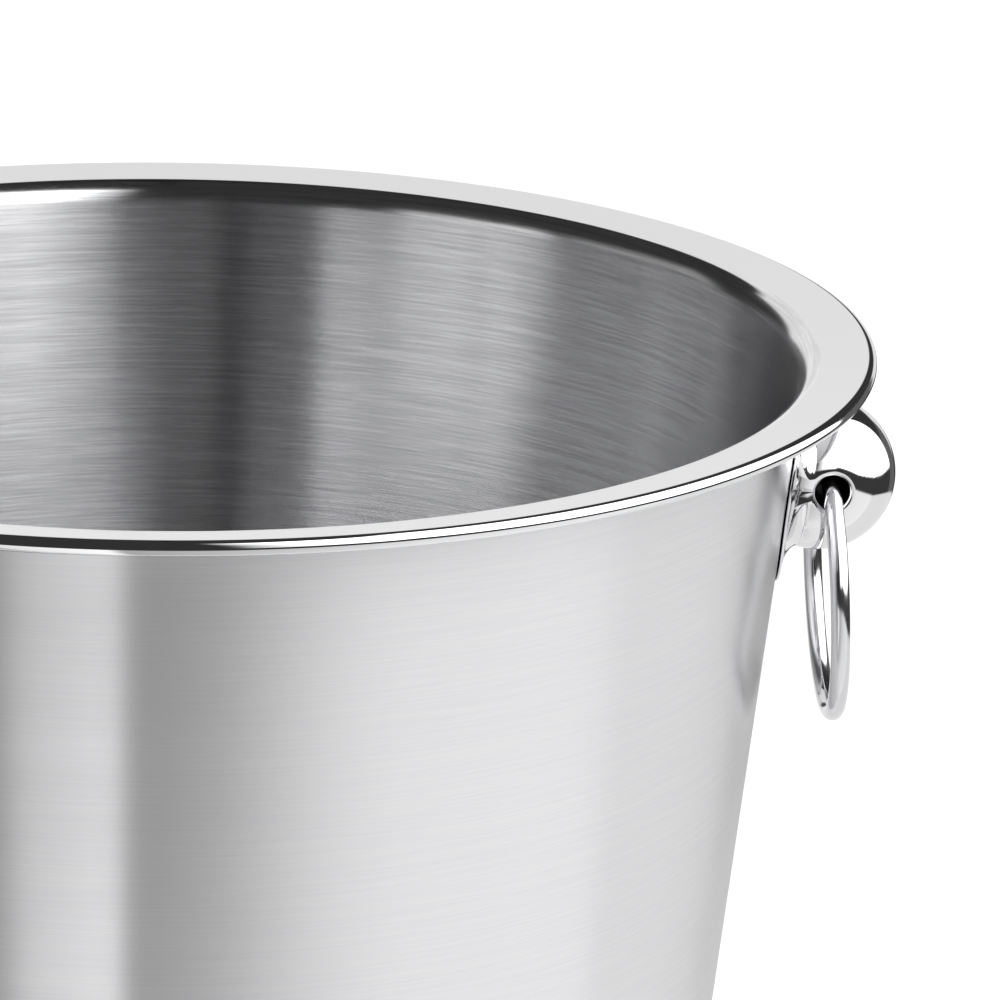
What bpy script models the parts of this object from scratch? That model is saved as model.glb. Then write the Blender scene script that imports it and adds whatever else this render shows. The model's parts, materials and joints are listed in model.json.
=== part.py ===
"""Champagne bucket: a drawn, tapered shell with a rolled rim, and two ball knobs that each carry a swinging ring."""

import math

import bmesh
import bpy
from mathutils import Matrix, Vector

# Driving sizes, in metres. The bucket stands on z = 0 and its axis is the Z axis.
BUCKET_HEIGHT = 0.214
RIM_DIAMETER = 0.220  # over the rolled edge
BASE_DIAMETER = 0.1541  # where the wall's line would meet the ground
SHEET = 0.0009  # thickness of the drawn steel
ROLL_DIAMETER = 0.0024  # the bead rolled at the rim's edge
FLANGE_WIDTH = 0.0107  # wall to the rim's edge, at the bead's height
FLANGE_SLOPE = math.radians(8.0)
RIM_BEND_RADIUS = 0.0038  # inner surface
CORNER_RADIUS = 0.010  # outer surface, wall to base
FOOT_RING_WIDTH = 0.010  # flat annulus that the bucket stands on
RECESS_HEIGHT = 0.002  # how far the middle of the base is pressed up
RECESS_SLOPE_WIDTH = 0.006

# Each knob: a ball on a thin, flared foot that hugs the wall.
KNOB_DROP = 0.0212  # ball's centre below the bead's centre
BALL_DIAMETER = 0.0244
BALL_STANDOFF = 0.0052  # wall to the ball's centre
FOOT_DIAMETER = 0.0356
FOOT_EDGE = 0.0006
FLARE_START = 0.0031  # distance from the wall at which the ball gives way to the flare
BORE_DIAMETER = 0.0053  # cross bore that the ring hangs in
BORE_OFFSET = 0.0011  # bore's axis outside the ball's centre
BORE_LIP_RADIUS = 0.0011

# Each ring: round wire bent to a circle, with its two ends inside the bore.
WIRE_DIAMETER = 0.0030
RING_DIAMETER = 0.0411  # through the middle of the wire
RING_LEAN = math.radians(3.0)  # how far the hanging ring stands off the vertical

# Each fixing: a pan-head screw from inside, through a washer and a soft seal.
SCREW_DIAMETER = 0.0040
THREAD_ENGAGEMENT = 0.0036  # beyond the cross bore
HEAD_DIAMETER = 0.0080
HEAD_HEIGHT = 0.0026
RECESS_SLOT = (0.0044, 0.0009, 0.0014)  # cross recess: length, width, depth
WASHER_DIAMETER = 0.0090
WASHER_THICKNESS = 0.0008
SEAL_DIAMETER = 0.0110
SEAL_THICKNESS = 0.0010

# Clearances.
SEAT_GAP = 0.0003  # between pieces that rest on each other
SWING_GAP = 0.0002  # between a ring and its bore
CUT_MARGIN = 0.002  # how far a cutter runs past what it cuts

# Facets.
SHELL_STEPS = 64
KNOB_STEPS = 32
SMALL_STEPS = 24
RING_STEPS = 40

SHARP_ANGLE = math.radians(35.0)

# Sizes that follow from the ones above.
ROLL_RADIUS = ROLL_DIAMETER / 2
ROLL_Z = BUCKET_HEIGHT - ROLL_RADIUS
ROLL_CENTRE = Vector((RIM_DIAMETER / 2 - ROLL_RADIUS, ROLL_Z))
RIM_WALL_RADIUS = RIM_DIAMETER / 2 - FLANGE_WIDTH
TAPER = math.atan((RIM_WALL_RADIUS - BASE_DIAMETER / 2) / ROLL_Z)
KNOB_Z = ROLL_Z - KNOB_DROP
BALL_RADIUS = BALL_DIAMETER / 2
BORE_RADIUS = BORE_DIAMETER / 2
WIRE_RADIUS = WIRE_DIAMETER / 2
RING_RADIUS = RING_DIAMETER / 2
HOLE_RADIUS = SCREW_DIAMETER / 2 + SEAT_GAP


def wall_radius(z):
    """The wall's outer radius at this height."""
    return BASE_DIAMETER / 2 + z * math.tan(TAPER)


def arc(centre, radius, start, end, steps):
    """Points in the profile plane from one angle to another, ends included."""
    turns = (start + (end - start) * i / steps for i in range(steps + 1))
    return [centre + radius * Vector((math.cos(t), math.sin(t))) for t in turns]


def tangent_centre(point_a, normal_a, point_b, normal_b, radius):
    """Centre of the arc that touches two lines. Each normal points from the centre to its line."""
    rows = Matrix((normal_a, normal_b))
    reach = Vector((normal_a.dot(point_a) - radius, normal_b.dot(point_b) - radius))
    return rows.inverted() @ reach


# The knob's own frame: its axis leaves the wall at right angles, and passes through the ball's centre.
KNOB_AXIS = Vector((math.cos(TAPER), 0.0, -math.sin(TAPER)))
KNOB_UP = Vector((math.sin(TAPER), 0.0, math.cos(TAPER)))
BALL_X = wall_radius(KNOB_Z) + BALL_STANDOFF / math.cos(TAPER)
BALL_CENTRE = Vector((BALL_X, 0.0, KNOB_Z))
KNOB_SEAT = BALL_CENTRE - BALL_STANDOFF * KNOB_AXIS
BORE_CENTRE = BALL_CENTRE + Vector((BORE_OFFSET, 0.0, 0.0))
SEAT_RADIUS = wall_radius(KNOB_SEAT.z) / math.cos(TAPER)  # curvature of the wall across the knob


def sag(across, radius=SEAT_RADIUS):
    """How far the round wall falls away at this distance to the side of the knob's axis."""
    return radius - math.sqrt(radius**2 - across**2)


# The bore's lip is a fillet between the bore and the ball, and the ring's inner side clears it.
LIP_REACH = BORE_RADIUS + BORE_LIP_RADIUS
LIP_Y = math.sqrt((BALL_RADIUS - BORE_LIP_RADIUS) ** 2 - LIP_REACH**2 - BORE_OFFSET**2)
RING_INNER = RING_RADIUS - WIRE_RADIUS
RING_OUTER = RING_RADIUS + WIRE_RADIUS
LIP_TO_RING = RING_INNER - BORE_LIP_RADIUS - SWING_GAP
RING_DROP = LIP_REACH + math.sqrt(LIP_TO_RING**2 - LIP_Y**2)  # bore's axis to the ring's centre
RING_ROOF = RING_DROP + BORE_RADIUS - SWING_GAP
RING_END_ANGLE = math.acos(min(1.0, RING_ROOF / RING_OUTER))

# Depths along the knob's axis, from the wall's outer surface. Minus is inside the bucket.
SEAL_SEAT = -(SHEET + sag(SEAL_DIAMETER / 2, SEAT_RADIUS - SHEET) + SEAT_GAP)
WASHER_SEAT = SEAL_SEAT - SEAL_THICKNESS - SEAT_GAP
HEAD_SEAT = WASHER_SEAT - WASHER_THICKNESS - SEAT_GAP
BORE_DEPTH = BALL_STANDOFF + BORE_OFFSET * math.cos(TAPER)
SCREW_TIP = BORE_DEPTH + BORE_RADIUS + THREAD_ENGAGEMENT


def new_collection(name):
    collection = bpy.data.collections.new(name)
    bpy.context.scene.collection.children.link(collection)
    return collection


def material(name, colour, metallic, roughness):
    """A Principled material of one colour."""
    made = bpy.data.materials.new(name)
    made.use_nodes = True
    shader = made.node_tree.nodes["Principled BSDF"]
    shader.inputs["Base Color"].default_value = (*colour, 1.0)
    shader.inputs["Metallic"].default_value = metallic
    shader.inputs["Roughness"].default_value = roughness
    made.diffuse_color = (*colour, 1.0)
    return made


def add_object(name, data, collection, finish=None, parent=None):
    obj = bpy.data.objects.new(name, data)
    collection.objects.link(obj)
    obj.parent = parent
    if finish:
        data.materials.append(finish)
    return obj


def smooth(mesh):
    mesh.shade_smooth()
    mesh.set_sharp_from_angle(angle=SHARP_ANGLE)


def turned(name, profile, steps, collection, finish=None, parent=None, closed=False):
    """A profile of (radius, height) points turned about the object's Z axis, as a live Screw modifier."""
    mesh = bpy.data.meshes.new(name)
    edges = [(i, i + 1) for i in range(len(profile) - 1)]
    if closed:
        edges.append((len(profile) - 1, 0))
    mesh.from_pydata([(r, 0.0, z) for r, z in profile], edges, [])
    obj = add_object(name, mesh, collection, finish, parent)
    screw = obj.modifiers.new("Turn", "SCREW")
    screw.steps = screw.render_steps = steps
    screw.use_merge_vertices = True
    screw.merge_threshold = 0.00001
    screw.use_smooth_shade = True
    return obj


def applied(obj):
    """Turns the object's evaluated shape into its own plain mesh."""
    bpy.context.view_layer.update()
    mesh = bpy.data.meshes.new_from_object(obj.evaluated_get(bpy.context.evaluated_depsgraph_get()))
    obj.modifiers.clear()
    obj.data = mesh
    return obj


def cylinder(name, radius, start, end, collection, steps=SMALL_STEPS):
    """A cylinder on the object's Z axis."""
    mesh = bpy.data.meshes.new(name)
    shape = bmesh.new()
    place = Matrix.Translation((0.0, 0.0, (start + end) / 2))
    sizes = {"radius1": radius, "radius2": radius, "depth": end - start}
    bmesh.ops.create_cone(shape, cap_ends=True, segments=steps, matrix=place, **sizes)
    shape.to_mesh(mesh)
    shape.free()
    return add_object(name, mesh, collection)


def cutter(obj):
    obj.hide_render = True
    obj.display_type = "WIRE"
    return obj


def cut(obj, tool):
    boolean = obj.modifiers.new("Cut " + tool.name, "BOOLEAN")
    boolean.operation = "DIFFERENCE"
    boolean.object = tool


def on_knob_axis(obj, side, within=Matrix()):
    """Stands the object's Z axis along the knob's axis, with its origin on the wall."""
    obj.parent = side
    turn = Matrix((-KNOB_UP, (0.0, 1.0, 0.0), KNOB_AXIS)).transposed()
    obj.matrix_local = Matrix.Translation(KNOB_SEAT) @ turn.to_4x4() @ within
    return obj


def shell_profile():
    """Half-section of the sheet: up the inside from the floor's centre, round the rim, and down the outside."""
    flange_normal = Vector((-math.sin(FLANGE_SLOPE), math.cos(FLANGE_SLOPE)))
    flange_run = Vector((math.cos(FLANGE_SLOPE), math.sin(FLANGE_SLOPE)))
    wall_normal = Vector((-math.cos(TAPER), math.sin(TAPER)))
    outer_foot = Vector((BASE_DIAMETER / 2, 0.0))
    inner_foot = outer_foot + SHEET * wall_normal

    flange_top = ROLL_CENTRE + ROLL_RADIUS * flange_normal
    bend = tangent_centre(flange_top, flange_normal, inner_foot, wall_normal, RIM_BEND_RADIUS)
    bend_ends = (math.pi - TAPER, math.pi / 2 + FLANGE_SLOPE)
    bead_join = math.asin((ROLL_RADIUS - SHEET) / ROLL_RADIUS)
    bead_ends = (math.pi / 2 + FLANGE_SLOPE, FLANGE_SLOPE - math.pi - bead_join)

    down = Vector((0.0, -1.0))
    corner = tangent_centre(outer_foot, -wall_normal, Vector((0.0, 0.0)), down, CORNER_RADIUS)
    corner_ends = (-TAPER, -math.pi / 2)

    ring_inner = corner.x - FOOT_RING_WIDTH
    dish = [
        (ring_inner - RECESS_SLOPE_WIDTH * i / 4, RECESS_HEIGHT * (1 - math.cos(math.pi * i / 4)) / 2)
        for i in range(5)
    ]

    floor = [Vector((r, z + SHEET)) for r, z in reversed(dish)]
    inside = arc(corner, CORNER_RADIUS - SHEET, corner_ends[1], corner_ends[0], 4)
    rim_inner = arc(bend, RIM_BEND_RADIUS, *bend_ends, 4)
    bead = arc(ROLL_CENTRE, ROLL_RADIUS, *bead_ends, 10)
    rim_under = arc(bend, RIM_BEND_RADIUS - SHEET, *reversed(bend_ends), 3)
    outside = arc(corner, CORNER_RADIUS, *corner_ends, 5)
    underside = [Vector(point) for point in dish]

    axis_top = Vector((0.0, RECESS_HEIGHT + SHEET))
    axis_bottom = Vector((0.0, RECESS_HEIGHT))
    points = [axis_top, *floor, *inside, *rim_inner, *bead, *rim_under, *outside, *underside, axis_bottom]
    return [(p.x, p.y) for p in points]


def make_shell(parts, cutters, finish, sides):
    shell = turned("bucket_shell", shell_profile(), SHELL_STEPS, parts, finish)
    for side, empty in sides.items():
        drill = cylinder("drill_" + side, HOLE_RADIUS, -SHEET - CUT_MARGIN, CUT_MARGIN, cutters)
        cut(shell, cutter(on_knob_axis(drill, empty)))


def knob_profile():
    """Half-section of the knob from its tip to its back, as distances from its axis and from the wall."""
    flare_radius = math.sqrt(BALL_RADIUS**2 - (BALL_STANDOFF - FLARE_START) ** 2)
    start = math.asin((FLARE_START - BALL_STANDOFF) / BALL_RADIUS)
    ball = arc(Vector((0.0, BALL_STANDOFF)), BALL_RADIUS, math.pi / 2, start, 12)
    across = FOOT_DIAMETER / 2 - flare_radius
    along = FLARE_START - FOOT_EDGE
    flare = []
    for i in range(1, 7):
        turn = math.pi / 2 * i / 6
        flare.append((FOOT_DIAMETER / 2 - across * math.cos(turn), FLARE_START - along * math.sin(turn)))
    back = -CUT_MARGIN
    edge = [(FOOT_DIAMETER / 2, FOOT_EDGE / 2), (FOOT_DIAMETER / 2, back)]
    return [(max(0.0, p.x), p.y) for p in ball] + flare + edge + [(0.0, back)]


def wrap_foot(mesh):
    """Bends the foot back so that it follows the round wall. The ball keeps its shape."""
    for vertex in mesh.vertices:
        share = (FLARE_START - vertex.co.z) / (FLARE_START - FOOT_EDGE)
        vertex.co.z -= sag(vertex.co.y) * min(1.0, max(0.0, share))


def bore_profile():
    """Half-section of the cross bore's cutter, which opens out at both lips."""
    flat = math.radians(60.0)
    lip = arc(Vector((LIP_REACH, LIP_Y)), BORE_LIP_RADIUS, math.pi, math.pi - flat, 4)
    out = BALL_RADIUS + CUT_MARGIN
    wide = lip[-1].x + (out - lip[-1].y) * math.tan(flat)
    half = [(wide, out)] + [(p.x, p.y) for p in reversed(lip)]
    mirrored = [(r, -z) for r, z in reversed(half)]
    return [(0.0, out)] + half + mirrored + [(0.0, -out)]


def make_knob(side, empty, parts, cutters, finish):
    knob = turned("knob_" + side, knob_profile(), KNOB_STEPS, parts)
    knob = on_knob_axis(applied(knob), empty)
    knob.data.materials.clear()
    knob.data.materials.append(finish)
    wrap_foot(knob.data)
    smooth(knob.data)

    low, high = KNOB_Z - FOOT_DIAMETER, KNOB_Z + FOOT_DIAMETER
    seat = bpy.data.meshes.new("seat_" + side)
    shape = bmesh.new()
    sizes = {"radius1": wall_radius(low), "radius2": wall_radius(high), "depth": high - low}
    bmesh.ops.create_cone(shape, cap_ends=True, segments=2 * SHELL_STEPS, **sizes)
    for vertex in shape.verts:
        vertex.co.xy *= 1 + SEAT_GAP / SEAT_RADIUS
    shape.to_mesh(seat)
    shape.free()
    wall = cutter(add_object("seat_" + side, seat, cutters, parent=empty))
    wall.location.z = KNOB_Z
    cut(knob, wall)

    bore = cutter(turned("bore_" + side, bore_profile(), SMALL_STEPS, cutters, parent=empty))
    bore.location = BORE_CENTRE
    bore.rotation_euler.x = math.pi / 2
    cut(knob, bore)

    tap = cylinder("tap_" + side, HOLE_RADIUS, -2 * CUT_MARGIN, SCREW_TIP + SEAT_GAP, cutters)
    cut(knob, cutter(on_knob_axis(tap, empty)))


def make_ring(side, empty, parts, finish):
    """The ring's origin is on the bore's axis, about which it swings."""
    curve = bpy.data.curves.new("ring_" + side, "CURVE")
    curve.dimensions = "3D"
    curve.bevel_depth = WIRE_RADIUS
    curve.bevel_resolution = 3
    curve.use_fill_caps = True
    spline = curve.splines.new("POLY")
    spline.points.add(RING_STEPS)
    sweep = 2 * (math.pi - RING_END_ANGLE)
    for i, point in enumerate(spline.points):
        turn = RING_END_ANGLE + sweep * i / RING_STEPS
        y = RING_RADIUS * math.sin(turn)
        z = RING_RADIUS * math.cos(turn) - RING_DROP
        point.co = (0.0, y, z, 1.0)
    ring = add_object("ring_" + side, curve, parts, finish, empty)
    ring.location = BORE_CENTRE
    ring.rotation_euler.y = -RING_LEAN


def make_screw(side, empty, parts, cutters, finish):
    """Pan head inside the bucket, plain shank out through the wall and across the bore into the ball."""
    head = HEAD_DIAMETER / 2
    crown = [(0.0, 1.0), (0.45, 0.95), (0.75, 0.80), (0.93, 0.55), (1.0, 0.25), (1.0, 0.0)]
    top = [(head * r, HEAD_HEIGHT * h - HEAD_SEAT) for r, h in crown]
    shank = SCREW_DIAMETER / 2
    chamfer = shank / 4
    tip = [(shank, -HEAD_SEAT), (shank, chamfer - SCREW_TIP), (shank - chamfer, -SCREW_TIP), (0.0, -SCREW_TIP)]
    screw = turned("screw_" + side, top + tip, SMALL_STEPS, parts, finish)
    on_knob_axis(screw, empty, Matrix.Rotation(math.pi, 4, "X"))

    length, width, depth = RECESS_SLOT
    for i in range(2):
        mesh = bpy.data.meshes.new(f"slot_{side}_{i + 1}")
        shape = bmesh.new()
        bmesh.ops.create_cube(shape, size=1.0)
        bmesh.ops.scale(shape, vec=(length, width, 2 * depth), verts=shape.verts)
        shape.to_mesh(mesh)
        shape.free()
        place = Matrix.Translation((0.0, 0.0, HEAD_SEAT - HEAD_HEIGHT))
        quarter = Matrix.Rotation(math.pi * (i + 0.5) / 2, 4, "Z")
        slot = on_knob_axis(add_object(mesh.name, mesh, cutters), empty, place @ quarter)
        cut(screw, cutter(slot))


def make_disc(name, diameter, seat, thickness, parts, finish, empty):
    """A flat washer whose outer face is at this depth along the knob's axis."""
    outer, inner = diameter / 2, HOLE_RADIUS
    section = [(inner, seat), (outer, seat), (outer, seat - thickness), (inner, seat - thickness)]
    on_knob_axis(turned(name, section, SMALL_STEPS, parts, finish, closed=True), empty)


def main():
    for obj in list(bpy.data.objects):
        bpy.data.objects.remove(obj, do_unlink=True)
    parts = new_collection("champagne_bucket")
    cutters = new_collection("cutters")
    brushed = material("brushed steel", (0.62, 0.62, 0.63), 1.0, 0.32)
    polished = material("polished steel", (0.78, 0.78, 0.79), 1.0, 0.05)
    zinc = material("plain steel", (0.55, 0.55, 0.56), 1.0, 0.25)
    silicone = material("clear silicone", (0.80, 0.81, 0.80), 0.0, 0.45)

    sides = {}
    for side, turn in (("right", 0.0), ("left", math.pi)):
        empty = add_object(side + "_side", None, parts)
        empty.rotation_euler.z = turn
        sides[side] = empty

    make_shell(parts, cutters, brushed, sides)
    for side, empty in sides.items():
        make_knob(side, empty, parts, cutters, polished)
        make_ring(side, empty, parts, polished)
        make_screw(side, empty, parts, cutters, zinc)
        make_disc("washer_" + side, WASHER_DIAMETER, WASHER_SEAT, WASHER_THICKNESS, parts, zinc, empty)
        make_disc("seal_" + side, SEAL_DIAMETER, SEAL_SEAT, SEAL_THICKNESS, parts, silicone, empty)


main()
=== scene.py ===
# Champagne bucket: its looks, light and camera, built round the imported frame.
import json
import math

import bmesh
import bpy
import numpy as np
from mathutils import Matrix, Vector


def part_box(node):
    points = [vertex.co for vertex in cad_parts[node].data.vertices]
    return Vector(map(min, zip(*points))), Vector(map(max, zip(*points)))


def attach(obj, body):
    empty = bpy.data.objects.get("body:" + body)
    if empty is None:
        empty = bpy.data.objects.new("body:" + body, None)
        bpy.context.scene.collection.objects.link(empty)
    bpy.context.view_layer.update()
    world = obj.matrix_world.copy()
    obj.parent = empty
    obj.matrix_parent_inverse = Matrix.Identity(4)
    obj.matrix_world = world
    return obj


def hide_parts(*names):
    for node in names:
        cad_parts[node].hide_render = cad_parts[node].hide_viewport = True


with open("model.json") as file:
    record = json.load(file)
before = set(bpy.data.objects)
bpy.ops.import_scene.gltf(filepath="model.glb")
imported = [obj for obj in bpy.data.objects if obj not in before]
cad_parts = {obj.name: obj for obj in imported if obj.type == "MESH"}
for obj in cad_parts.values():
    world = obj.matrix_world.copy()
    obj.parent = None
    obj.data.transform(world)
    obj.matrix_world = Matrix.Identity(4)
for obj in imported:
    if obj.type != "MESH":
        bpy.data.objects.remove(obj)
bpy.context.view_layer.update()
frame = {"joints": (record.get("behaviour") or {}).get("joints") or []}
mm = 0.001
shellLow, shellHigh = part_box("bucket_shell")
hingePoint = {joint["child"]: Vector(joint["pos_m"]) for joint in frame["joints"]}


# Colours, nodes and materials.

def linearColour(hexCode):
    parts = [int(hexCode[i:i + 2], 16) / 255 for i in (1, 3, 5)]
    return [c / 12.92 if c <= 0.04045 else ((c + 0.055) / 1.055) ** 2.4 for c in parts] + [1.0]


def addNode(tree, kind, settings=None, links=None):
    # one node, its settings, and its inputs: a value, or the output socket that feeds it
    # a Mix node's colours are its inputs 6 and 7 and its output 2
    node = tree.nodes.new(kind)
    for key, value in (settings or {}).items():
        setattr(node, key, value)
    for key, value in (links or {}).items():
        if isinstance(value, bpy.types.NodeSocket):
            tree.links.new(value, node.inputs[key])
        else:
            node.inputs[key].default_value = value
    return node


def newMaterial(name):
    material = bpy.data.materials.new(name)
    material.use_nodes = True
    tree = material.node_tree
    return material, tree, tree.nodes["Principled BSDF"]


def grainPattern(tree, length, height, detail=2.0, roughness=0.5):
    # noise drawn out level round the bucket: length runs along the grain, height across it, both in metres
    place = addNode(tree, "ShaderNodeTexCoord")
    sized = addNode(tree, "ShaderNodeMapping", None,
                    {"Vector": place.outputs["Object"], "Scale": (1 / length, 1 / length, 1 / height)})
    grain = addNode(tree, "ShaderNodeTexNoise", None,
                    {"Vector": sized.outputs["Vector"], "Scale": 1.0, "Detail": detail,
                     "Roughness": roughness})
    return grain.outputs["Fac"]


# Brushed stainless: a 180 grit belt run round the bucket leaves level lines about 0.08 mm apart, drawn here
# at 0.25 to 0.3 mm so that they show. They spread each reflection up and down, so it turns into upright
# bands. A few wider, brighter hairs lie among the lines, and in broad patches the belt left it rougher.
# Towards the rim's bend the buffing wheel has run over the lines and left them finer.
brushedOutside = {"colour": "#e0e0e1", "lineColour": "#dbdbdd", "roughness": 0.30, "spread": 1.0,
                  "turn": 0.25,  # of a full turn: the spread runs across the lines
                  "lineLength": 24 * mm, "lineHeight": 0.3 * mm, "lineDepth": 0.0002 * mm,
                  "hairLength": 16 * mm, "hairHeight": 0.7 * mm, "hair": 0.3,
                  "patchLength": 40 * mm, "patchHeight": 6 * mm, "patch": 0.03, "buffed": 0.2}
brushedInside = {"colour": "#e4e4e5", "lineColour": "#cbcbcd", "roughness": 0.22, "spread": 1.0,
                 "turn": 0.25,
                 "lineLength": 18 * mm, "lineHeight": 0.25 * mm, "lineDepth": 0.0003 * mm,
                 "hairLength": 14 * mm, "hairHeight": 0.6 * mm, "hair": 0.5,
                 "patchLength": 50 * mm, "patchHeight": 3 * mm, "patch": 0.05, "buffed": 0.2}


def brushedSteel(name, look):
    material, tree, shader = newMaterial(name)
    lines = grainPattern(tree, look["lineLength"], look["lineHeight"], 3.0, 0.6)
    patches = grainPattern(tree, look["patchLength"], look["patchHeight"], 2.0)
    hairs = grainPattern(tree, look["hairLength"], look["hairHeight"], 1.0)
    # the noise lies mostly between 0.34 and 0.66, and only its peaks make a hair
    lineTone = addNode(tree, "ShaderNodeMapRange", None,
                       {"Value": lines, "From Min": 0.34, "From Max": 0.66})
    hairTone = addNode(tree, "ShaderNodeMapRange", None,
                       {"Value": hairs, "From Min": 0.58, "From Max": 0.72, "To Max": look["hair"]})
    tone = addNode(tree, "ShaderNodeMath", {"operation": "ADD", "use_clamp": True},
                   {0: lineTone.outputs["Result"], 1: hairTone.outputs["Result"]})
    colour = addNode(tree, "ShaderNodeMix", {"data_type": "RGBA"},
                     {"Factor": tone.outputs[0], 6: linearColour(look["lineColour"]),
                      7: linearColour(look["colour"])})
    uneven = addNode(tree, "ShaderNodeMath", {"operation": "MULTIPLY_ADD"},
                     {0: patches, 1: look["patch"], 2: look["roughness"] - look["patch"] / 2})
    wheel = addNode(tree, "ShaderNodeAttribute", {"attribute_name": "buffing"})
    finer = addNode(tree, "ShaderNodeMapRange", None,
                    {"Value": wheel.outputs["Fac"], "To Min": 1.0, "To Max": look["buffed"]})
    rough = addNode(tree, "ShaderNodeMath", {"operation": "MULTIPLY"},
                    {0: uneven.outputs[0], 1: finer.outputs["Result"]})
    bump = addNode(tree, "ShaderNodeBump", None,
                   {"Height": lines, "Strength": 1.0, "Distance": look["lineDepth"]})
    around = addNode(tree, "ShaderNodeTangent", {"direction_type": "RADIAL", "axis": "Z"})
    tree.links.new(colour.outputs[2], shader.inputs["Base Color"])
    tree.links.new(rough.outputs[0], shader.inputs["Roughness"])
    tree.links.new(bump.outputs["Normal"], shader.inputs["Normal"])
    tree.links.new(around.outputs["Tangent"], shader.inputs["Tangent"])
    shader.inputs["Metallic"].default_value = 1.0
    shader.inputs["Anisotropic"].default_value = look["spread"]
    shader.inputs["Anisotropic Rotation"].default_value = look["turn"]
    return material


# Buffed stainless: polished to a mirror, with the faint haze and slow ripple that buffing leaves.
buffed = {"colour": "#dededf", "roughness": 0.04, "haze": 0.05, "hazeSize": 8 * mm, "ripple": 0.004 * mm,
          "rippleSize": 6 * mm}

# Drawn wire, tumbled bright: less of a mirror than buffing gives, so its dark and light lines run soft.
drawnWire = {"colour": "#d2d2d4", "roughness": 0.11, "haze": 0.05, "hazeSize": 5 * mm, "ripple": 0.002 * mm,
             "rippleSize": 4 * mm}


def buffedSteel(name, look):
    material, tree, shader = newMaterial(name)
    clouds = grainPattern(tree, look["hazeSize"], look["hazeSize"], 3.0)
    haze = addNode(tree, "ShaderNodeMapRange", None,
                   {"Value": clouds, "From Min": 0.45, "From Max": 0.8, "To Min": look["roughness"],
                    "To Max": look["roughness"] + look["haze"]})
    ripple = grainPattern(tree, look["rippleSize"], look["rippleSize"], 1.0)
    bump = addNode(tree, "ShaderNodeBump", None,
                   {"Height": ripple, "Strength": 1.0, "Distance": look["ripple"]})
    tree.links.new(haze.outputs["Result"], shader.inputs["Roughness"])
    tree.links.new(bump.outputs["Normal"], shader.inputs["Normal"])
    shader.inputs["Base Color"].default_value = linearColour(look["colour"])
    shader.inputs["Metallic"].default_value = 1.0
    return material


# Plain stainless hardware: turned, then tumbled, so it is duller, with small worn marks all over.
tumbled = {"colour": "#bdbdbf", "worn": "#98989b", "roughness": 0.26, "unevenness": 0.16,
           "markSize": 1.1 * mm, "markDepth": 0.006 * mm}

# Drilled stainless, left rough as drilled; its near-black colour is painted shade in the bore, tapped hole
# and foot's back
paintedShadeBore = {"colour": "#2c2c2d", "worn": "#232324", "roughness": 0.5, "unevenness": 0.16,
               "markSize": 0.6 * mm, "markDepth": 0.01 * mm}


def tumbledSteel(name, look):
    material, tree, shader = newMaterial(name)
    marks = grainPattern(tree, look["markSize"], look["markSize"], 4.0, 0.6)
    worn = addNode(tree, "ShaderNodeMapRange", None, {"Value": marks, "From Min": 0.5, "From Max": 0.75})
    colour = addNode(tree, "ShaderNodeMix", {"data_type": "RGBA"},
                     {"Factor": worn.outputs["Result"], 6: linearColour(look["colour"]),
                      7: linearColour(look["worn"])})
    rough = addNode(tree, "ShaderNodeMath", {"operation": "MULTIPLY_ADD"},
                    {0: marks, 1: look["unevenness"], 2: look["roughness"] - look["unevenness"] / 2})
    bump = addNode(tree, "ShaderNodeBump", None,
                   {"Height": marks, "Strength": 1.0, "Distance": look["markDepth"]})
    tree.links.new(colour.outputs[2], shader.inputs["Base Color"])
    tree.links.new(rough.outputs[0], shader.inputs["Roughness"])
    tree.links.new(bump.outputs["Normal"], shader.inputs["Normal"])
    shader.inputs["Metallic"].default_value = 1.0
    return material


# Moulded silicone: milky and a little see-through at its edge, with the fine matt skin of its mould.
moulded = {"colour": "#d5d7d4", "deep": "#c2c5c1", "roughness": 0.48, "unevenness": 0.12,
           "cloudSize": 2.5 * mm, "skinSize": 0.3 * mm, "skinDepth": 0.01 * mm, "milkiness": 0.25,
           "scatter": 2 * mm, "ior": 1.41}


def mouldedSilicone(name, look):
    material, tree, shader = newMaterial(name)
    clouds = grainPattern(tree, look["cloudSize"], look["cloudSize"], 3.0)
    skin = grainPattern(tree, look["skinSize"], look["skinSize"])
    colour = addNode(tree, "ShaderNodeMix", {"data_type": "RGBA"},
                     {"Factor": clouds, 6: linearColour(look["colour"]), 7: linearColour(look["deep"])})
    rough = addNode(tree, "ShaderNodeMath", {"operation": "MULTIPLY_ADD"},
                    {0: skin, 1: look["unevenness"], 2: look["roughness"] - look["unevenness"] / 2})
    bump = addNode(tree, "ShaderNodeBump", None,
                   {"Height": skin, "Strength": 1.0, "Distance": look["skinDepth"]})
    tree.links.new(colour.outputs[2], shader.inputs["Base Color"])
    tree.links.new(rough.outputs[0], shader.inputs["Roughness"])
    tree.links.new(bump.outputs["Normal"], shader.inputs["Normal"])
    shader.inputs["Subsurface Weight"].default_value = look["milkiness"]
    shader.inputs["Subsurface Radius"].default_value = (look["scatter"],) * 3
    shader.inputs["IOR"].default_value = look["ior"]
    return material


# Shapes that several pieces are made with.

def arcPoints(centre, radius, start, end, count):
    turns = [start + (end - start) * i / count for i in range(count + 1)]
    return [(centre[0] + radius * math.cos(t), centre[1] + radius * math.sin(t)) for t in turns]


def tangentCentre(pointA, normalA, pointB, normalB, radius):
    # centre of the arc that touches two lines; each normal points from the centre to its line
    rows = Matrix((normalA, normalB))
    return rows.inverted() @ Vector((normalA.dot(pointA) - radius, normalB.dot(pointB) - radius))


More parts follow.
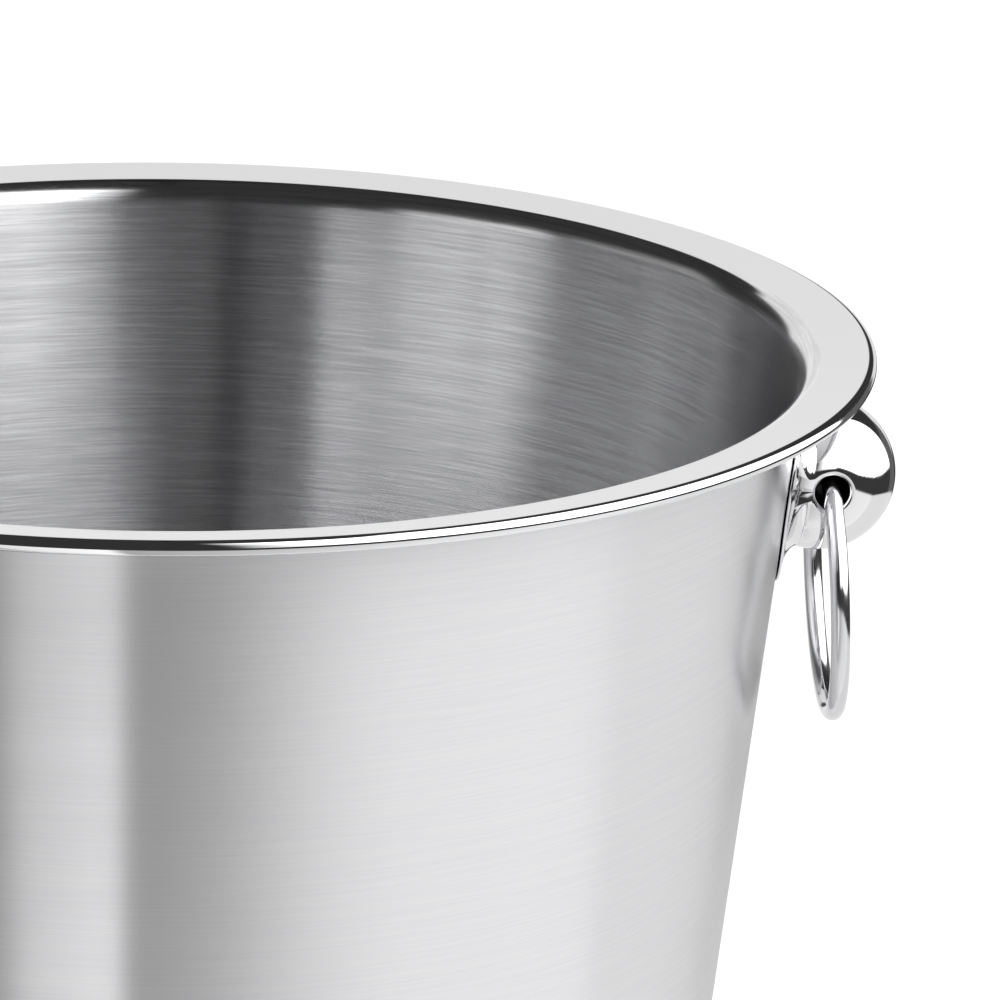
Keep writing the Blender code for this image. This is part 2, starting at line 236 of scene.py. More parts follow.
def turnedMesh(name, profile, steps, closed=False):
    # a section of (radius, height, material slot) points turned about Z; a point on the axis becomes a pole
    verts, rows = [], []
    for r, z, _ in profile:
        if r < 1e-7:  # on the axis
            rows.append([len(verts)] * steps)
            verts.append((0.0, 0.0, z))
            continue
        rows.append(list(range(len(verts), len(verts) + steps)))
        turns = (math.tau * i / steps for i in range(steps))
        verts += [(r * math.cos(t), r * math.sin(t), z) for t in turns]
    faces, slots = [], []
    last = len(profile) if closed else len(profile) - 1
    for k in range(last):
        a, b = rows[k], rows[(k + 1) % len(profile)]
        for i in range(steps):
            j = (i + 1) % steps
            faces.append(list(dict.fromkeys((a[i], b[i], b[j], a[j]))))
            slots.append(profile[k][2])
    mesh = bpy.data.meshes.new(name)
    mesh.from_pydata(verts, [], faces)
    mesh.polygons.foreach_set("material_index", slots)
    shape = bmesh.new()
    shape.from_mesh(mesh)
    bmesh.ops.recalc_face_normals(shape, faces=shape.faces)
    shape.to_mesh(mesh)
    shape.free()
    mesh.shade_smooth()
    mesh.set_sharp_from_angle(angle=math.radians(40))
    return mesh


def addObject(name, mesh, materials):
    piece = bpy.data.objects.new(name, mesh)
    bpy.context.scene.collection.objects.link(piece)
    for material in materials:
        mesh.materials.append(material)
    return piece


def cutAway(mesh, tool):
    # the mesh with the tool's shape taken out of it
    body = bpy.data.objects.new("blank", mesh)
    knife = bpy.data.objects.new("knife", tool)
    for obj in (body, knife):
        bpy.context.scene.collection.objects.link(obj)
    boolean = body.modifiers.new("cut", "BOOLEAN")
    boolean.object = knife
    bpy.context.view_layer.update()
    graph = bpy.context.evaluated_depsgraph_get()
    result = bpy.data.meshes.new_from_object(body.evaluated_get(graph))
    for obj in (body, knife):
        bpy.data.objects.remove(obj)
    return result


# The shell is one sheet, drawn and then brushed; only the rim is buffed, from its bend out to its bead.
shell = {"sheet": 0.9 * mm, "beadRadius": 1.2 * mm, "flangeWidth": 10.7 * mm, "flangeSlope": math.radians(8),
         "bendRadius": 3.8 * mm, "baseRadius": 77.05 * mm, "cornerRadius": 10 * mm, "standingRing": 10 * mm,
         "recess": 2 * mm, "recessSlope": 6 * mm, "steps": 384}
rimRadius = round(shellHigh.x, 4)
rimHeight = round(shellHigh.z, 4)
beadHeight = rimHeight - shell["beadRadius"]
wallAtBead = rimRadius - shell["flangeWidth"]
taper = math.atan((wallAtBead - shell["baseRadius"]) / beadHeight)


def wallRadius(z):
    return shell["baseRadius"] + z * math.tan(taper)


def shellSection():
    # slots: 0 brushed inside, 1 buffed rim, 2 brushed outside
    # it also gives the heights where the bend starts and ends
    sheet, bead, bend = shell["sheet"], shell["beadRadius"], shell["bendRadius"]
    corner, slope = shell["cornerRadius"], shell["flangeSlope"]
    flangeNormal = Vector((-math.sin(slope), math.cos(slope)))
    wallNormal = Vector((-math.cos(taper), math.sin(taper)))
    beadCentre = Vector((rimRadius - bead, beadHeight))
    outerFoot = Vector((shell["baseRadius"], 0.0))
    innerFoot = outerFoot + sheet * wallNormal
    bendCentre = tangentCentre(beadCentre + bead * flangeNormal, flangeNormal, innerFoot, wallNormal, bend)
    cornerCentre = tangentCentre(outerFoot, -wallNormal, Vector((0.0, 0.0)), Vector((0.0, -1.0)), corner)
    tuck = math.asin((bead - sheet) / bead)
    ringInner = cornerCentre.x - shell["standingRing"]
    dish = []
    for i in range(17):
        rise = (1 - math.cos(math.pi * i / 16)) / 2
        dish.append((ringInner - shell["recessSlope"] * i / 16, shell["recess"] * rise))
    floorEnd = dish[-1][0]
    floorRings = [floorEnd * i / 6 for i in range(6)]

    def tagged(points, slot):
        return [(x, z, slot) for x, z in points]

    inside = [(r, shell["recess"] + sheet) for r in floorRings]
    inside += [(r, z + sheet) for r, z in reversed(dish)]
    inside += arcPoints(cornerCentre, corner - sheet, -math.pi / 2, -taper, 16)
    wallTop = arcPoints(bendCentre, bend, math.pi - taper, math.pi / 2 + slope, 24)
    start, end = Vector(inside[-1]), Vector(wallTop[0])
    inside += [tuple(start.lerp(end, i / 24)) for i in range(1, 24)] + wallTop[:-1]
    rim = wallTop[-1:]
    beadTop = arcPoints(beadCentre, bead, math.pi / 2 + slope, slope - math.pi - tuck, 48)
    start, end = Vector(wallTop[-1]), Vector(beadTop[0])
    rim += [tuple(start.lerp(end, i / 8)) for i in range(1, 8)]
    rim += beadTop
    under = arcPoints(bendCentre, bend - sheet, math.pi / 2 + slope, math.pi - taper, 16)
    rim += under[:-1]
    heel = arcPoints(cornerCentre, corner, -taper, -math.pi / 2, 20)
    start, end = Vector(under[-1]), Vector(heel[0])
    outside = [under[-1]] + [tuple(start.lerp(end, i / 24)) for i in range(1, 24)] + heel
    outside += dish + [(r, shell["recess"]) for r in reversed(floorRings)]
    return tagged(inside, 0) + tagged(rim, 1) + tagged(outside, 2), wallTop[0][1], wallTop[-1][1]


def makeShell(materials):
    section, bendStart, bendEnd = shellSection()
    mesh = turnedMesh("bucketShell", section, shell["steps"])
    # the wheel's reach: none below the bend, and all of it where the flange starts
    shares = [min(max((v.co.z - bendStart) / (bendEnd - bendStart), 0.0), 1.0) for v in mesh.vertices]
    mesh.attributes.new("buffing", "FLOAT", "POINT").data.foreach_set("value", [s * s for s in shares])
    piece = addObject("bucketShell", mesh, materials)
    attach(piece, "bucket")
    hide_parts("bucket_shell")


# The knob: a ball on a thin foot, turned in one piece, cross-bored for the ring, then buffed. Buffing washes
# the ball away a little round the bore and rounds its lips. The bore and the foot's back stay as drilled,
# painted dark as shade.
knob = {"ballRadius": 12.2 * mm, "standoff": 5.2 * mm, "footRadius": 17.8 * mm, "footEdge": 0.7 * mm,
        "edgeRound": 0.2 * mm, "edgeLift": 0.28 * mm, "liftWidth": 1.2 * mm, "flareStart": 3.1 * mm,
        "seatGap": 0.05 * mm, "boreRadius": 2.65 * mm, "boreOffset": 1.1 * mm, "lip": 0.9 * mm,
        "washDepth": 0.5 * mm, "washWidth": 4.4 * mm, "tapRadius": 2.3 * mm, "tapDepth": 12.9 * mm,
        "steps": 256}
knobAxis = Vector((math.cos(taper), 0.0, -math.sin(taper)))
knobUp = Vector((math.sin(taper), 0.0, math.cos(taper)))
boreCentre = hingePoint["ring_right"]
ballCentre = boreCentre - Vector((knob["boreOffset"], 0.0, 0.0))
knobSeat = ballCentre - knob["standoff"] * knobAxis
knobTurn = Matrix((-knobUp, (0.0, 1.0, 0.0), knobAxis)).transposed().to_4x4()
knobPlace = Matrix.Translation(knobSeat) @ knobTurn
wallCurve = wallRadius(knobSeat.z) / math.cos(taper)
sides = {"right": Matrix.Identity(4), "left": Matrix.Rotation(math.pi, 4, "Z")}


def knobSection():
    # outline from the ball's tip to the foot's edge, as distances from the axis and from the wall
    ball, stand, foot = knob["ballRadius"], knob["standoff"], knob["footRadius"]
    start = math.asin((knob["flareStart"] - stand) / ball)  # where the ball runs into the foot's flare
    outline = arcPoints((0.0, stand), ball, math.pi / 2, start, 96)
    outline[0] = (0.0, stand + ball)
    a = Vector(outline[-1])
    d = Vector((foot - knob["edgeRound"], knob["footEdge"]))
    pull = 0.5523  # cubic handle that follows a quarter ellipse
    b = a + Vector((math.sin(start), -math.cos(start))) * pull * (a.y - d.y)
    c = d - Vector((pull * (d.x - a.x), 0.0))
    for i in range(1, 41):
        t = i / 40
        p = a * (1 - t) ** 3 + b * 3 * t * (1 - t) ** 2 + c * 3 * t * t * (1 - t) + d * t ** 3
        outline.append(tuple(p))
    edge = (foot - knob["edgeRound"], knob["footEdge"] - knob["edgeRound"])
    return outline, arcPoints(edge, knob["edgeRound"], math.pi / 2, 0.0, 6)[1:]


def outlineDistance(points, outline):
    # signed distance and outward normal of (radius, depth) points from the turned outline
    line = np.array(outline)
    step = np.gradient(line, axis=0)
    normals = np.stack([-step[:, 1], step[:, 0]], 1)
    normals /= np.linalg.norm(normals, axis=1)[:, None]
    a, b = line[:-1], line[1:]
    run = b - a
    best = np.full(len(points), 1.0)  # a metre, further than any point lies
    normal = np.zeros((len(points), 2))
    for k in range(len(a)):
        t = np.clip(((points - a[k]) @ run[k]) / (run[k] @ run[k]), 0, 1)[:, None]
        away = points - (a[k] + t * run[k])
        size = np.linalg.norm(away, axis=1)
        nearer = size < np.abs(best)
        n = normals[k] * (1 - t) + normals[k + 1] * t
        best = np.where(nearer, size * np.sign((away * n).sum(1) + 1e-12), best)
        normal[nearer] = n[nearer]
    return best, normal / np.linalg.norm(normal, axis=1)[:, None]


def knobField(points, outline, bore):
    # distance from the buffed surface: the turned outline, washed away round a bore with rounded lips
    radius = np.hypot(points[:, 0], points[:, 1])
    f, n = outlineDistance(np.stack([radius, points[:, 2]], 1), outline)
    safe = np.maximum(radius, 1e-9)
    fn = np.stack([n[:, 0] * points[:, 0] / safe, n[:, 0] * points[:, 1] / safe, n[:, 1]], 1)
    across = points - bore
    across[:, 1] = 0.0
    gap = np.linalg.norm(across, axis=1)
    away = across / np.maximum(gap, 1e-9)[:, None]
    wash = knob["washDepth"] * np.exp(-(gap / knob["washWidth"]) ** 2)
    f = f + wash
    fn = fn - (2 * gap / knob["washWidth"] ** 2 * wash)[:, None] * away
    fn /= np.linalg.norm(fn, axis=1)[:, None]
    g = knob["boreRadius"] - gap
    u, v = f + knob["lip"], g + knob["lip"]
    inLip = (u > 0) & (v > 0)
    size = np.maximum(np.hypot(u, v), 1e-9)
    value = np.where(inLip, size - knob["lip"], np.maximum(f, g))
    blend = (u[:, None] * fn - v[:, None] * away) / size[:, None]
    normal = np.where(inLip[:, None], blend, np.where((f > g)[:, None], fn, -away))
    return value, normal / np.linalg.norm(normal, axis=1)[:, None], gap


def wrapOnWall(points, normals):
    # bends the foot back to the round wall; the ball keeps its shape
    span = knob["flareStart"] - knob["footEdge"]
    share = np.clip((knob["flareStart"] - points[:, 2]) / span, 0, 1)
    falling = np.where((share > 0) & (share < 1), -1 / span, 0.0)
    y = points[:, 1]
    root = np.sqrt(wallCurve ** 2 - y ** 2)
    fall, slope = wallCurve - root, y / root
    stretch = 1 - fall * falling
    normals = normals.copy()
    normals[:, 1] += slope * share / stretch * normals[:, 2]
    normals[:, 2] /= stretch
    size = np.linalg.norm(normals, axis=1)
    normals[size > 0] /= size[size > 0][:, None]
    moved = points.copy()
    moved[:, 2] -= fall * share
    return moved, normals


def knobMesh():
    outline, edge = knobSection()
    foot, lift, back = knob["footRadius"], knob["edgeLift"], knob["seatGap"]
    chamfer = 0.1 * mm
    section = [(r, z, 0) for r, z in outline + edge] + [(foot, lift + chamfer, 0)]
    section += [(foot - chamfer, lift, 1), (foot - knob["liftWidth"], lift, 1)]
    section += [(foot - knob["liftWidth"] - lift, back, 1), (0.0, back, 1)]
    blank = turnedMesh("blank", section, knob["steps"])

    # the cutter for the bore: its ends flare along the rounded lips, then run on as cones
    bore = knobPlace.inverted() @ boreCentre
    lipY = math.sqrt((knob["ballRadius"] - knob["lip"]) ** 2 - (knob["boreRadius"] + knob["lip"]) ** 2)
    flat = math.radians(68)  # how far the lip's round turns before the cone
    lip = arcPoints((knob["boreRadius"] + knob["lip"], lipY), knob["lip"], math.pi, math.pi - flat, 10)
    out = knob["ballRadius"] + 2 * mm  # the cutter ends clear of the ball
    wide = lip[-1][0] + (out - lip[-1][1]) * math.tan(flat)
    half = [(wide, out)] + lip[::-1] + [(lip[0][0], lipY * i / 5) for i in (4, 3, 2, 1)]
    tool = [(0.0, out)] + half + [(lip[0][0], 0.0)] + [(r, -z) for r, z in half[::-1]] + [(0.0, -out)]
    funnel = turnedMesh("funnel", [(r, z, 0) for r, z in tool], 96)
    funnel.transform(Matrix.Translation(bore) @ Matrix.Rotation(math.pi / 2, 4, "X"))
    drillTip = knob["tapDepth"] - 1 * mm
    tap = turnedMesh("tap", [(0, knob["tapDepth"], 0), (knob["tapRadius"], drillTip, 0),
                             (knob["tapRadius"], -1 * mm, 0), (0, -1 * mm, 0)], 48)
    mesh = cutAway(cutAway(blank, funnel), tap)

    points = np.array([v.co for v in mesh.vertices])
    centre = np.array(bore)

    def drilled(spots, deep):
        # inside the tapped hole, or on the foot's back, or in the bore behind its lip, with a little slack
        tapped = np.hypot(spots[:, 0], spots[:, 1]) < knob["tapRadius"] + 0.02 * mm
        hole = np.hypot(spots[:, 0] - centre[0], spots[:, 2] - centre[2]) < knob["boreRadius"] + 0.05 * mm
        return (tapped & (spots[:, 2] < knob["tapDepth"])) | (spots[:, 2] < lift + 0.05 * mm) | (hole & deep)

    # the cut edges are rough, so the points near the bore are pulled onto the buffed surface
    hidden = drilled(points, False)
    for _ in range(8):
        value, normal, gap = knobField(points, outline, centre)
        pull = ~hidden & (gap < 3 * knob["washWidth"]) & (np.abs(value) < 1.2 * knob["lip"])
        pull &= points[:, 2] > knob["flareStart"]
        points[pull] -= value[pull, None] * normal[pull]
    value, normal, gap = knobField(points, outline, centre)
    normal[hidden | (np.abs(value) > 0.02 * mm)] = 0.0
    centres = np.array([face.center for face in mesh.polygons])
    inside = np.abs(centres[:, 1]) < lipY
    # the bore, tapped hole and foot's back take the second material: near-black, painted shade
    mesh.polygons.foreach_set("material_index", drilled(centres, inside).astype(int))
    points, normal = wrapOnWall(points, normal)
    mesh.vertices.foreach_set("co", points.ravel())
    mesh.update()
    mesh.shade_smooth()
    mesh.set_sharp_from_angle(angle=math.radians(50))
    mesh.normals_split_custom_set_from_vertices(normal)
    return mesh


def makeKnobs(skin, bore):
    mesh = knobMesh()
    for side, turn in sides.items():
        piece = addObject("knob" + side.title(), mesh.copy(), [skin, bore])
        piece.matrix_world = turn @ knobPlace
        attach(piece, "bucket")
        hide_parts("knob_" + side)


# The ring: drawn 3 mm wire bent to a circle, its cut ends sprung into the knob's bore from both sides.
ring = {"wireRadius": 1.5 * mm, "radius": 20.55 * mm, "drop": 18.142 * mm, "endAngle": math.radians(20.95),
        "lean": math.radians(3), "steps": 256, "sidesRound": 32, "endChamfer": 0.3 * mm}


def makeRings(material):
    wire, radius, chamfer = ring["wireRadius"], ring["radius"], ring["endChamfer"]
    sweep = math.tau - 2 * ring["endAngle"]
    bevelTurn = chamfer / radius
    middle = sweep - 2 * bevelTurn
    stations = [(0.0, wire - chamfer), (bevelTurn, wire)]
    stations += [(bevelTurn + middle * i / ring["steps"], wire) for i in range(1, ring["steps"])]
    stations += [(sweep - bevelTurn, wire), (sweep, wire - chamfer)]
    count = ring["sidesRound"]
    verts, faces = [], []
    for turn, thick in stations:
        angle = ring["endAngle"] + turn
        for k in range(count):
            across = math.tau * k / count
            reach = radius + thick * math.cos(across)
            height = reach * math.cos(angle) - ring["drop"]
            verts.append((thick * math.sin(across), reach * math.sin(angle), height))
    for s in range(len(stations) - 1):
        for k in range(count):
            n = (k + 1) % count
            faces.append((s * count + k, s * count + n, (s + 1) * count + n, (s + 1) * count + k))
    faces.append(tuple(range(count)))
    faces.append(tuple(range(len(verts) - 1, len(verts) - 1 - count, -1)))
    mesh = bpy.data.meshes.new("ring")
    mesh.from_pydata(verts, [], faces)
    shape = bmesh.new()
    shape.from_mesh(mesh)
    bmesh.ops.recalc_face_normals(shape, faces=shape.faces)
    shape.to_mesh(mesh)
    shape.free()
    mesh.shade_smooth()
    mesh.set_sharp_from_angle(angle=math.radians(30))
    for side, turn in sides.items():
        piece = addObject("ring" + side.title(), mesh.copy(), [material])
        piece.matrix_world = turn @ Matrix.Translation(boreCentre) @ Matrix.Rotation(-ring["lean"], 4, "Y")
        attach(piece, "ring_" + side)
        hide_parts("ring_" + side)


# The fixing inside the bucket: M4 pan-head screw, flat washer, and a silicone seal pressed on the wall.
# Shank, head, washer, seal and hole are radii.
fixing = {"shank": 2.0 * mm, "rootDepth": 0.38 * mm, "pitch": 0.7 * mm, "reach": 12.54 * mm,
          "flatRoot": 1.3,  # over 1 leaves the thread's root flat
          "tipChamfer": 0.6 * mm, "head": 4.0 * mm, "headHeight": 2.6 * mm, "headChamfer": 0.12 * mm,
          "skirt": 0.35,  # the share of the head's height under its crown
          "slotLength": 4.4 * mm, "slotWidth": 0.95 * mm, "slotDepth": 1.5 * mm,
          "slotFloor": (0.55, 0.7), "slotMouth": (1.15, 1.1),  # shares of its length and width
          "washer": 4.5 * mm, "washerThick": 0.8 * mm, "washerRound": 0.15 * mm,
          "seal": 5.5 * mm, "sealThick": 1.0 * mm, "sealRound": 0.35 * mm, "hole": 2.3 * mm, "gap": 0.3 * mm}
innerCurve = wallCurve - shell["sheet"]
sealSeat = -(shell["sheet"] + innerCurve - math.sqrt(innerCurve ** 2 - fixing["seal"] ** 2) + fixing["gap"])
washerSeat = sealSeat - fixing["sealThick"] - fixing["gap"]
headSeat = washerSeat - fixing["washerThick"] - fixing["gap"]


def screwMesh():
    head, tall, shank, reach = fixing["head"], fixing["headHeight"], fixing["shank"], fixing["reach"]
    skirtShare, chamfer, point = fixing["skirt"], fixing["headChamfer"], fixing["tipChamfer"]
    crown = [(head * math.sin(t), headSeat - tall * (skirtShare + (1 - skirtShare) * math.cos(t)))
             for t in (math.pi / 2 * i / 14 for i in range(15))]
    crown[0] = (0.0, crown[0][1])
    skirt = [(head, headSeat - chamfer), (head - chamfer, headSeat), (shank, headSeat)]
    tip = [(shank, reach - point), (shank - point, reach), (0.0, reach)]
    rows = int((tip[0][1] - headSeat) / fixing["pitch"]) * 8  # 8 rows of points to each turn of thread
    barrel = [(shank, headSeat + (tip[0][1] - headSeat) * i / rows) for i in range(1, rows)]
    mesh = turnedMesh("screw", [(r, z, 0) for r, z in crown + skirt + barrel + tip], 40)
    for vertex in mesh.vertices:  # the thread: the barrel's wall waves in along a helix
        x, y, z = vertex.co
        if headSeat + 0.5 * mm < z < tip[0][1] and math.hypot(x, y) > 0.9 * shank:
            phase = (z / fixing["pitch"] - math.atan2(y, x) / math.tau) % 1.0
            groove = min(1.0, 2 * abs(phase - 0.5) * fixing["flatRoot"])
            cut = 1 - fixing["rootDepth"] / shank * groove
            vertex.co.x, vertex.co.y = x * cut, y * cut
    for turn in (math.pi / 4, 3 * math.pi / 4):
        tool = bpy.data.meshes.new("driver")
        shape = bmesh.new()
        bmesh.ops.create_cube(shape, size=1.0)
        for corner in shape.verts:  # the recess narrows towards its floor
            deep = corner.co.z > 0
            lengthShare, widthShare = fixing["slotFloor"] if deep else fixing["slotMouth"]
            corner.co.x *= fixing["slotLength"] * lengthShare
            corner.co.y *= fixing["slotWidth"] * widthShare
            corner.co.z = headSeat - tall + (fixing["slotDepth"] if deep else -0.5 * mm)
        bmesh.ops.rotate(shape, matrix=Matrix.Rotation(turn, 3, "Z"), verts=shape.verts)
        shape.to_mesh(tool)
        shape.free()
        mesh = cutAway(mesh, tool)
    mesh.shade_smooth()
    mesh.set_sharp_from_angle(angle=math.radians(32))
    return mesh


def discMesh(kind, seat):
    # a flat disc with a hole and rounded edges, from its seat back towards the screw's head
    radius, rim = fixing[kind], fixing[kind + "Round"]
    hole, back = fixing["hole"], seat - fixing[kind + "Thick"]
    section = arcPoints((radius - rim, seat - rim), rim, math.pi / 2, 0, 5)
    section += arcPoints((radius - rim, back + rim), rim, 0, -math.pi / 2, 5)
    section += arcPoints((hole + rim, back + rim), rim, 3 * math.pi / 2, math.pi, 5)
    section += arcPoints((hole + rim, seat - rim), rim, math.pi, math.pi / 2, 5)
    return turnedMesh(kind, [(r, z, 0) for r, z in section], 96, closed=True)


def makeFixings(steel, silicone):
    pieces = {"screw": (screwMesh(), steel, "plain_steel"),
              "washer": (discMesh("washer", washerSeat), steel, "plain_steel"),
              "seal": (discMesh("seal", sealSeat), silicone, "silicone")}
    for kind, (mesh, material, slot) in pieces.items():
        for side, turn in sides.items():
            piece = addObject(kind + side.title(), mesh.copy(), [material])
            piece.matrix_world = turn @ knobPlace
            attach(piece, "bucket")
            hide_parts(kind + "_" + side)


outsideWall = brushedSteel("belt brushed stainless outside", brushedOutside)
insideWall = brushedSteel("belt brushed stainless inside", brushedInside)
buffedRim = buffedSteel("buffed stainless rim", buffed)
buffedKnob = buffedSteel("buffed stainless knob", buffed)
makeShell([insideWall, buffedRim, outsideWall])
print("shell made")
# the knob's second material is near-black: painted shade in its bore, tapped hole and behind its foot
makeKnobs(buffedKnob, tumbledSteel("stainless bore painted dark as shade", paintedShadeBore))
print("knobs made")
makeRings(buffedSteel("drawn stainless wire", drawnWire))
print("rings made")
makeFixings(tumbledSteel("tumbled stainless hardware", tumbled),
            mouldedSilicone("moulded silicone", moulded))
print("fixings made")


# Floor, light and camera.

studio = {"floor": "#f4f4f4", "floorShade": "#eeeeee", "floorRoughness": 0.7, "floorSize": 12.0,
          "rollerPatch": 0.35, "sky": "#ffffff", "skyStrength": 1.35}  # sizes in metres


def makeFloor():
    # matt white painted board, with the slight unevenness of a roller
    material, tree, shader = newMaterial("matt white floor paint")
    uneven = grainPattern(tree, studio["rollerPatch"], studio["rollerPatch"], 3.0)
    tone = addNode(tree, "ShaderNodeMix", {"data_type": "RGBA"},
                   {"Factor": uneven, 6: linearColour(studio["floor"]),
                    7: linearColour(studio["floorShade"])})
    tree.links.new(tone.outputs[2], shader.inputs["Base Color"])
    shader.inputs["Roughness"].default_value = studio["floorRoughness"]
    mesh = bpy.data.meshes.new("floor")
    shape = bmesh.new()
    bmesh.ops.create_grid(shape, x_segments=8, y_segments=8, size=studio["floorSize"] / 2)
    shape.to_mesh(mesh)
    shape.free()
    floor = addObject("floor", mesh, [material])
    floor.location.z = shellLow.z


def makeSky():
    # an even white sky lights the floor; the steel doesn't see it
    world = bpy.data.worlds.new("studio")
    bpy.context.scene.world = world
    world.use_nodes = True
    sky = world.node_tree.nodes["Background"]
    sky.inputs["Color"].default_value = linearColour(studio["sky"])
    sky.inputs["Strength"].default_value = studio["skyStrength"]
    world.cycles_visibility.glossy = False
    bpy.context.scene.view_settings.view_transform = "Standard"


# What the steel mirrors is a light tent, which only reflections see. Its table runs from the foot radius out
# to the round wall, and above the height "side" the cloth comes in as a flat roof. A panel spans the
# bearings "from" and "to", in degrees from the front towards +X, and the heights "low" and "high", in metres
# along the cloth: under 0 is the table, and over "side" the roof. Low, high and glow each run from a value
# at the first bearing to one at the last. "edge", in degrees, and "rise", in metres, are how softly a panel
# ends. A later panel hangs in front of an earlier one.
tent = {"foot": 0.125, "radius": 0.45, "side": 0.85, "panels": [
    # black cloth all round
    {"from": -180, "to": 180, "low": (-1, -1), "high": (2, 2), "glow": (0.04, 0.04),
     "edge": 2, "rise": 0.01},
    # white table and low wall
    {"from": -180, "to": 180, "low": (-1, -1), "high": (0.12, 0.12), "glow": (0.9, 0.9),
     "edge": 2, "rise": 0.04},
    # black flag, low round the right side and the back
    {"from": 38, "to": 180, "low": (0.04, 0.04), "high": (0.3, 0.3), "glow": (0.05, 0.05),
     "edge": 1, "rise": 0.01},
    # table in front, brighter to the right
    {"from": -9, "to": 40, "low": (-1, -1), "high": (0.12, 0.12), "glow": (0.47, 1.05),
     "edge": 3, "rise": 0.01},
    # table at the right
    {"from": 39, "to": 84, "low": (-1, -1), "high": (0.12, 0.045), "glow": (1.05, 1.15),
     "edge": 1, "rise": 0.01},
    # table at the right and behind
    {"from": 84, "to": 150, "low": (-1, -1), "high": (0.045, 0.045), "glow": (1.0, 0.9),
     "edge": 6, "rise": 0.01},
    # bright strip left of the middle
    {"from": -27, "to": -7, "low": (-1, -1), "high": (0.12, 0.12), "glow": (0.95, 1.4),
     "edge": 3, "rise": 0.01},
    # table in shade at the left
    {"from": -60, "to": -26, "low": (-1, -1), "high": (0.12, 0.12), "glow": (0.3, 0.55),
     "edge": 6, "rise": 0.01},
    # big softbox, fading in from its left end
    {"from": 10, "to": 33, "low": (0.27, 0.27), "high": (1.1, 1.1), "glow": (0.3, 3.6),
     "edge": 4, "rise": 0.01},
    # the softbox's middle
    {"from": 33, "to": 58, "low": (0.29, 0.21), "high": (1.1, 1.1), "glow": (3.6, 3.0),
     "edge": 1, "rise": 0.01},
    # the softbox's right part, which hangs lower
    {"from": 58, "to": 85, "low": (0.21, 0.165), "high": (1.1, 1.1), "glow": (3.0, 2.7),
     "edge": 1, "rise": 0.01},
    # the softbox's far right end
    {"from": 85, "to": 119, "low": (0.165, 0.15), "high": (1.1, 1.1), "glow": (2.7, 2.7),
     "edge": 2, "rise": 0.01},
    # grey flag past the softbox
    {"from": 119, "to": 138, "low": (0.045, 0.045), "high": (0.26, 0.26), "glow": (0.14, 0.14),
     "edge": 2, "rise": 0.01},
    # backdrop, right part
    {"from": 138, "to": 162, "low": (0.13, 0.13), "high": (0.26, 0.26), "glow": (0.9, 0.9),
     "edge": 3, "rise": 0.01},
    # backdrop, middle
    {"from": 160, "to": 193, "low": (0.13, 0.13), "high": (0.44, 0.44), "glow": (0.95, 0.95),
     "edge": 4, "rise": 0.01},
    # small box at the left
    {"from": -86, "to": -50, "low": (0.27, 0.27), "high": (0.45, 0.45), "glow": (1.1, 1.1),
     "edge": 8, "rise": 0.01},
    # a dimmer box behind it
    {"from": -134, "to": -90, "low": (0.27, 0.27), "high": (0.45, 0.45), "glow": (0.4, 0.4),
     "edge": 8, "rise": 0.01}]}


def smoothStep(x):
    x = min(max(x, 0.0), 1.0)
    return x * x * (3 - 2 * x)


def between(ends, share):
    return ends[0] + (ends[1] - ends[0]) * share


def tentGlow(bearing, height):
    glow = 0.0
    for panel in tent["panels"]:
        half = (panel["to"] - panel["from"]) / 2
        off = (bearing - panel["from"] - half + 180) % 360 - 180
        cover = smoothStep((half - abs(off)) / panel["edge"] + 0.5)
        along = min(max(off / (2 * half) + 0.5, 0.0), 1.0)
        cover *= smoothStep((height - between(panel["low"], along)) / panel["rise"] + 0.5)
        cover *= smoothStep((between(panel["high"], along) - height) / panel["rise"] + 0.5)
        glow += cover * (between(panel["glow"], along) - glow)
    return glow


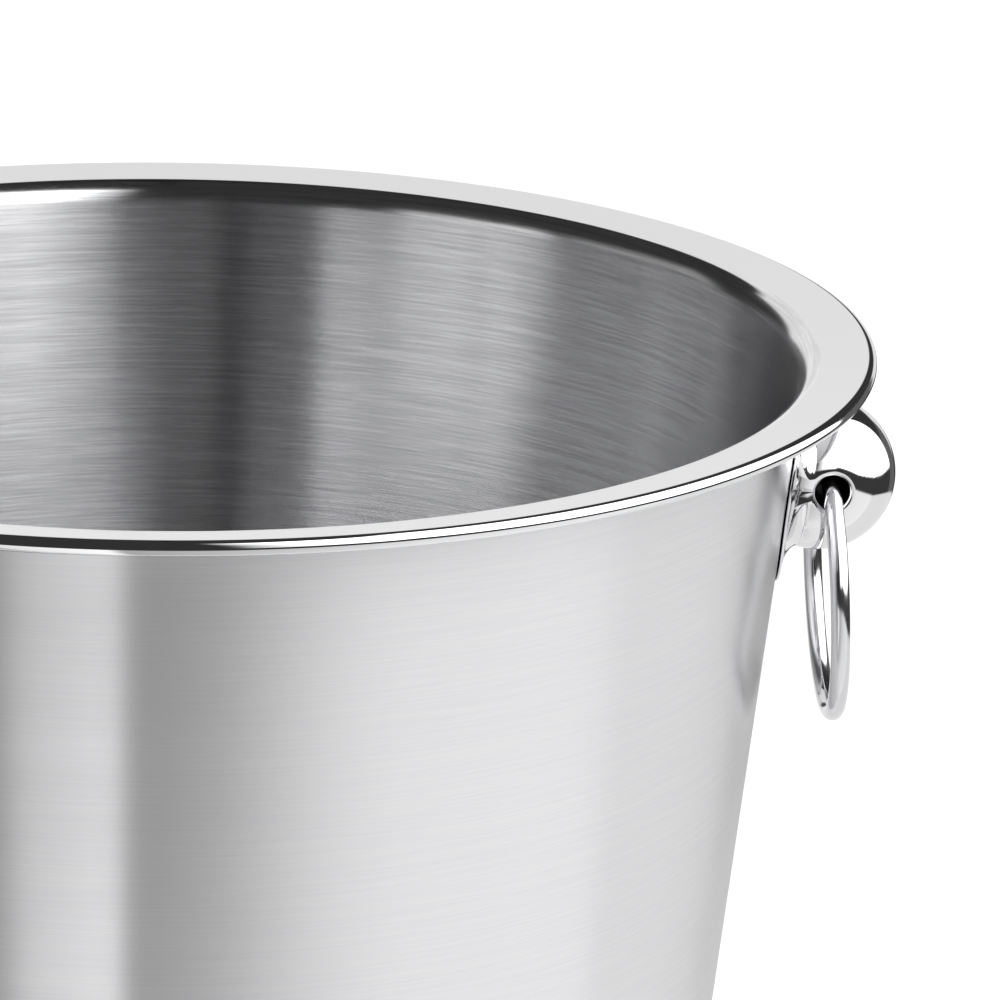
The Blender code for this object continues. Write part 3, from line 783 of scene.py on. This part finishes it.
def makeTent():
    # rows of points, one per degree, from the table's inner edge out, up the side and in over the roof;
    # they are closest over the first 0.6 m, where the panels' edges are
    foot, radius, side = tent["foot"], tent["radius"], tent["side"]
    heights = [(foot - radius) * (1 - i / 8) for i in range(8)] + [0.01 * i for i in range(61)]
    heights += [0.6 + 0.05 * i for i in range(1, 6)] + [side + radius * i / 12 for i in range(1, 12)]
    verts, glows = [], []
    for height in heights:
        r = radius + min(height, 0.0) - max(height - side, 0.0)
        z = shellLow.z + 1 * mm + min(max(height, 0.0), side)
        for bearing in range(360):
            turn = math.radians(bearing)
            verts.append((r * math.sin(turn), -r * math.cos(turn), z))
            glows.append(tentGlow(bearing, height))
    faces = []
    for k in range(len(heights) - 1):
        for i in range(360):
            j = (i + 1) % 360
            faces.append((k * 360 + i, k * 360 + j, (k + 1) * 360 + j, (k + 1) * 360 + i))
    faces.append(tuple(range(len(verts) - 360, len(verts))))
    mesh = bpy.data.meshes.new("tent")
    mesh.from_pydata(verts, [], faces)
    mesh.attributes.new("glow", "FLOAT", "POINT").data.foreach_set("value", glows)

    material = bpy.data.materials.new("tent cloth, lit from outside")
    material.use_nodes = True
    material.cycles.emission_sampling = "NONE"
    tree = material.node_tree
    tree.nodes.clear()
    panels = addNode(tree, "ShaderNodeAttribute", {"attribute_name": "glow"})
    light = addNode(tree, "ShaderNodeEmission", None, {"Strength": panels.outputs["Fac"]})
    addNode(tree, "ShaderNodeOutputMaterial", None, {"Surface": light.outputs["Emission"]})
    cloth = addObject("tent", mesh, [material])
    cloth.visible_camera = cloth.visible_diffuse = cloth.visible_shadow = False
    cloth.visible_transmission = cloth.visible_volume_scatter = False


# The camera stands in front, above the rim, and looks down and a little to the right. Its distance and
# elevation are taken from the middle of the rim; lens and sensor are in millimetres.
view = {"distance": 880 * mm, "elevation": math.radians(15.46), "yaw": math.radians(3.53),
        "pitch": math.radians(17.06), "roll": math.radians(-1.40), "lens": 203.66, "sensor": 36.0}


def makeCamera():
    camera = bpy.data.objects.new("camera", bpy.data.cameras.new("camera"))
    bpy.context.scene.collection.objects.link(camera)
    camera.data.sensor_width = view["sensor"]
    camera.data.lens = view["lens"]
    camera.data.clip_end = 50.0
    away = Vector((0.0, -math.cos(view["elevation"]), math.sin(view["elevation"])))
    spot = Matrix.Translation(Vector((0.0, 0.0, beadHeight)) + view["distance"] * away)
    turn = Matrix.Rotation(-view["yaw"], 4, "Z") @ Matrix.Rotation(math.pi / 2 - view["pitch"], 4, "X")
    camera.matrix_world = spot @ turn @ Matrix.Rotation(-view["roll"], 4, "Z")
    bpy.context.scene.camera = camera


makeFloor()
makeSky()
makeTent()
makeCamera()
print("studio and camera ready")
